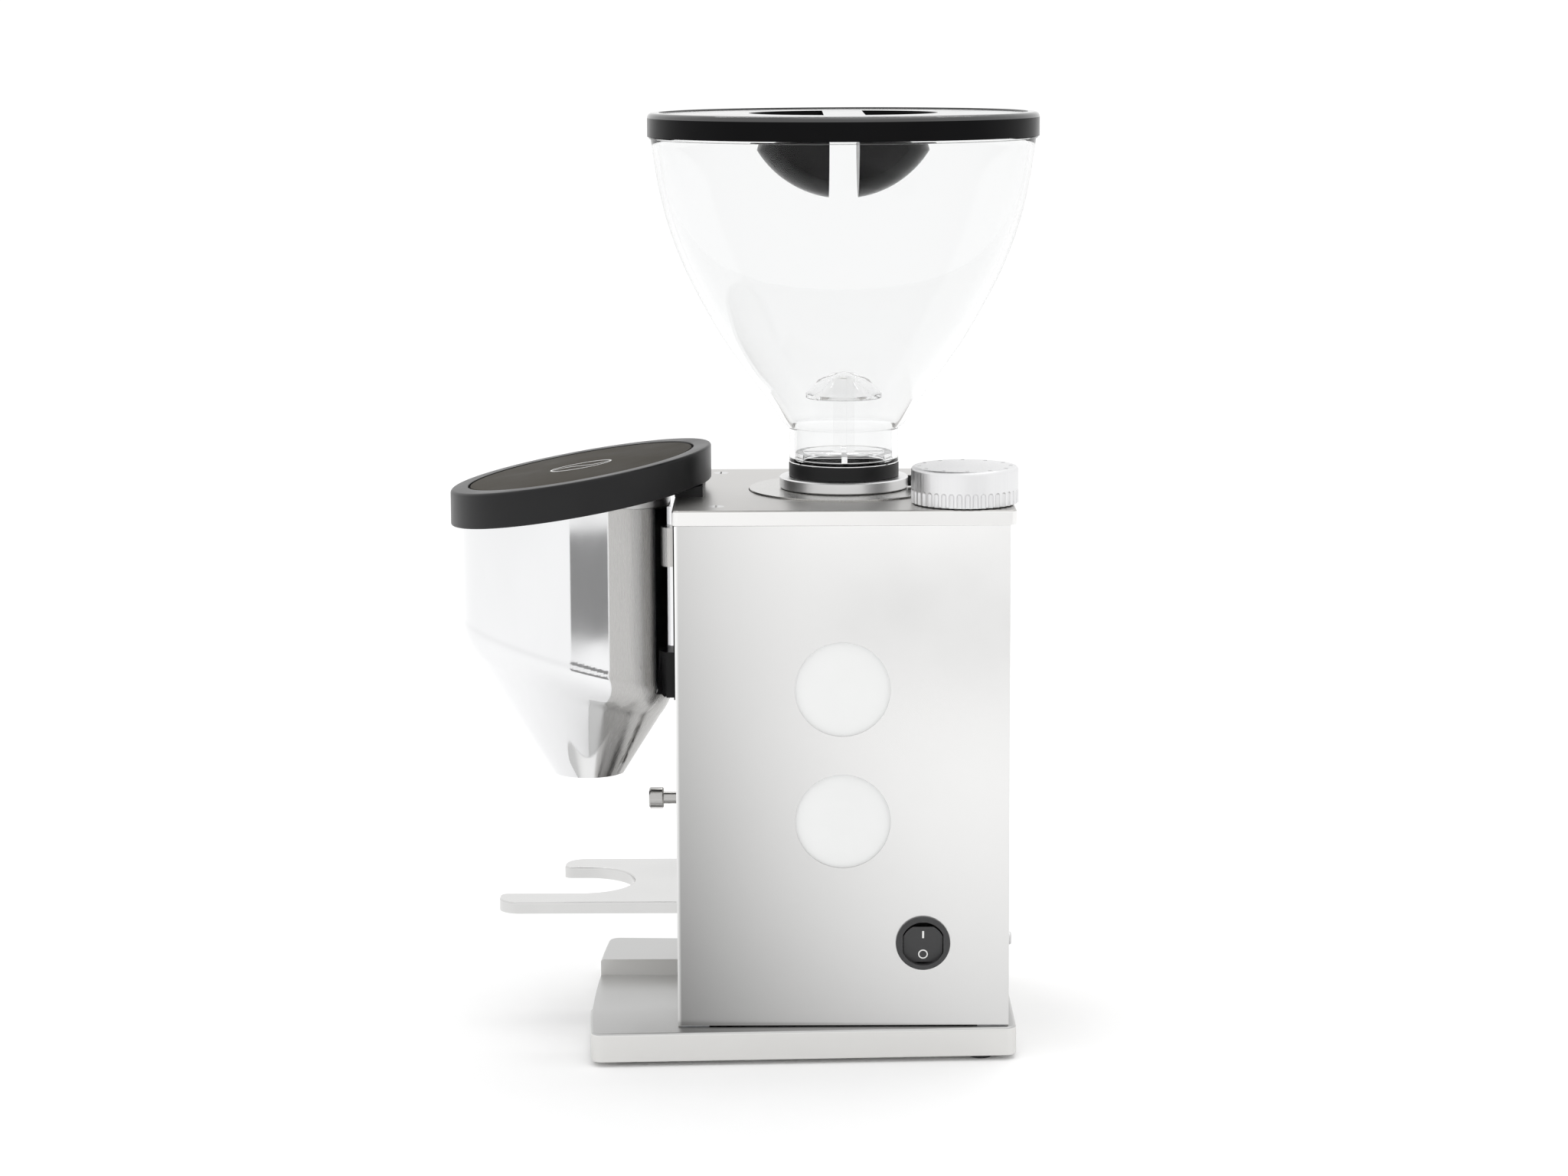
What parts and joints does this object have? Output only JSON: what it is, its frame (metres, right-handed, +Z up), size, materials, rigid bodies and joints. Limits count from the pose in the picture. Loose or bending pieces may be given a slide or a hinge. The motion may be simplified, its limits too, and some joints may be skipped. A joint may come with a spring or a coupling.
{
  "type": "coffee grinder",
  "caption": "Home espresso burr grinder with a stainless case on a flared base, clear bean hopper with a black lid, chromed funnel, tilted round black head, fork rest and side power switch",
  "frame": {"origin": "On the standing surface, under the middle of the whole grinder's outside box", "axes": "+Z is up; -Y is the front, where the fork and funnel are; +X is the side with the power switch"},
  "size_m": [0.168, 0.2547, 0.3983],
  "materials": {
    "stainless": "satin",
    "chrome": "polished",
    "black_plastic": "satin",
    "lid_black": "gloss",
    "head_black": "satin",
    "head_disc": "satin",
    "switch_black": "satin",
    "clear_plastic": "clear",
    "white_plastic": "matte",
    "grey_plastic": "matte",
    "rubber": "matte",
    "wire_rubber": "satin",
    "screw_steel": "satin",
    "zinc_steel": "galvanised",
    "motor_steel": "satin",
    "cast_aluminium": "cast",
    "turned_aluminium": "polished",
    "copper_wire": "enamelled",
    "brass": "satin",
    "circuit_board": "satin"
  },
  "bodies": {
    "root": {"base_plate": "stainless", "feet": "rubber", "side_panel_right": "stainless", "side_panel_left": "stainless", "window_backings": "white_plastic", "front_panel": "stainless", "rear_panel": "stainless", "frame_posts": "zinc_steel", "top_plate": "stainless", "top_plate_screws": "screw_steel", "power_inlet": "black_plastic", "inlet_screws": "screw_steel", "power_switch_body": "switch_black", "control_board": "circuit_board", "run_capacitor": "grey_plastic", "wiring_harness": "wire_rubber", "bridge_plate": "zinc_steel", "motor_housing": "motor_steel", "motor_lower_bell": "cast_aluminium", "motor_upper_bell": "cast_aluminium", "motor_screws": "screw_steel", "motor_bearings": "screw_steel", "stator_core": "motor_steel", "stator_windings": "copper_wire", "grinding_chamber": "cast_aluminium", "spindle_bush": "brass", "outlet_duct": "black_plastic", "funnel": "chrome", "funnel_bracket": "black_plastic", "head_housing": "head_black", "head_glass": "head_disc", "head_board": "circuit_board", "head_seat": "black_plastic", "portafilter_fork": "chrome", "inner_brackets": "zinc_steel", "front_screws": "screw_steel", "button_bush": "chrome", "small_switch": "black_plastic"},
    "rotor": {"rotor_core": "motor_steel", "motor_shaft": "screw_steel", "cooling_fan": "black_plastic", "lower_burr_carrier": "brass", "lower_burr": "screw_steel", "lower_burr_screws": "screw_steel"},
    "ring": {"adjusting_ring": "stainless"},
    "knob": {"adjusting_knob": "turned_aluminium", "knob_pinion": "screw_steel"},
    "upper_carrier": {"upper_burr_carrier": "cast_aluminium", "upper_burr": "screw_steel", "upper_burr_screws": "screw_steel", "hopper_collar": "chrome", "hopper_lock_screw": "black_plastic"},
    "hopper": {"hopper": "clear_plastic", "neck_ring": "black_plastic", "bean_guard": "clear_plastic"},
    "lid": {"hopper_lid": "lid_black"},
    "rocker": {"power_switch_rocker": "switch_black"},
    "button": {"dose_button": "chrome", "button_spring": "screw_steel"},
    "lever": {"small_switch_lever": "screw_steel"}
  },
  "joints": [
    {"name": "motor_spin", "type": "hinge", "parent": "root", "child": "rotor", "pos_m": [0, 0.04335, 0.15], "axis": [0, 0, 1], "continuous": true},
    {"name": "ring_turn", "type": "hinge", "parent": "root", "child": "ring", "pos_m": [0, 0.04335, 0.226], "axis": [0, 0, 1], "range_deg": [0, 120]},
    {"name": "knob_turn", "type": "hinge", "parent": "root", "child": "knob", "pos_m": [0.04517, 0.09351, 0.226], "axis": [0, 0, 1], "range_deg": [-480.2, 0.2]},
    {"name": "carrier_lift", "type": "slide", "parent": "root", "child": "upper_carrier", "axis": [0, 0, 1], "range_m": [0, 0.0005001]},
    {"name": "hopper_lift", "type": "slide", "parent": "upper_carrier", "child": "hopper", "axis": [0, 0, 1], "range_m": [0, 0.12]},
    {"name": "lid_lift", "type": "slide", "parent": "hopper", "child": "lid", "axis": [0, 0, 1], "range_m": [0, 0.08]},
    {"name": "rocker_tilt", "type": "hinge", "parent": "root", "child": "rocker", "pos_m": [0.0625, 0.07535, 0.0507], "axis": [0, 1, 0], "range_deg": [-16, 0]},
    {"name": "button_press", "type": "slide", "parent": "root", "child": "button", "axis": [0, 1, 0], "range_m": [0, 0.003], "stiffness_N_per_m": 400, "springref_m": -0.001},
    {"name": "lever_swing", "type": "hinge", "parent": "root", "child": "lever", "pos_m": [-0.016, -0.00905, 0.0985], "axis": [0, 0, 1], "range_deg": [0, 11]}
  ],
  "couplings": [
    {"joint": "knob_turn", "follows": "ring_turn", "ratio": -4},
    {"joint": "carrier_lift", "follows": "ring_turn", "m_per_rad": 0.00023873},
    {"joint": "lever_swing", "follows": "button_press", "rad_per_m": 62.5}
  ]
}
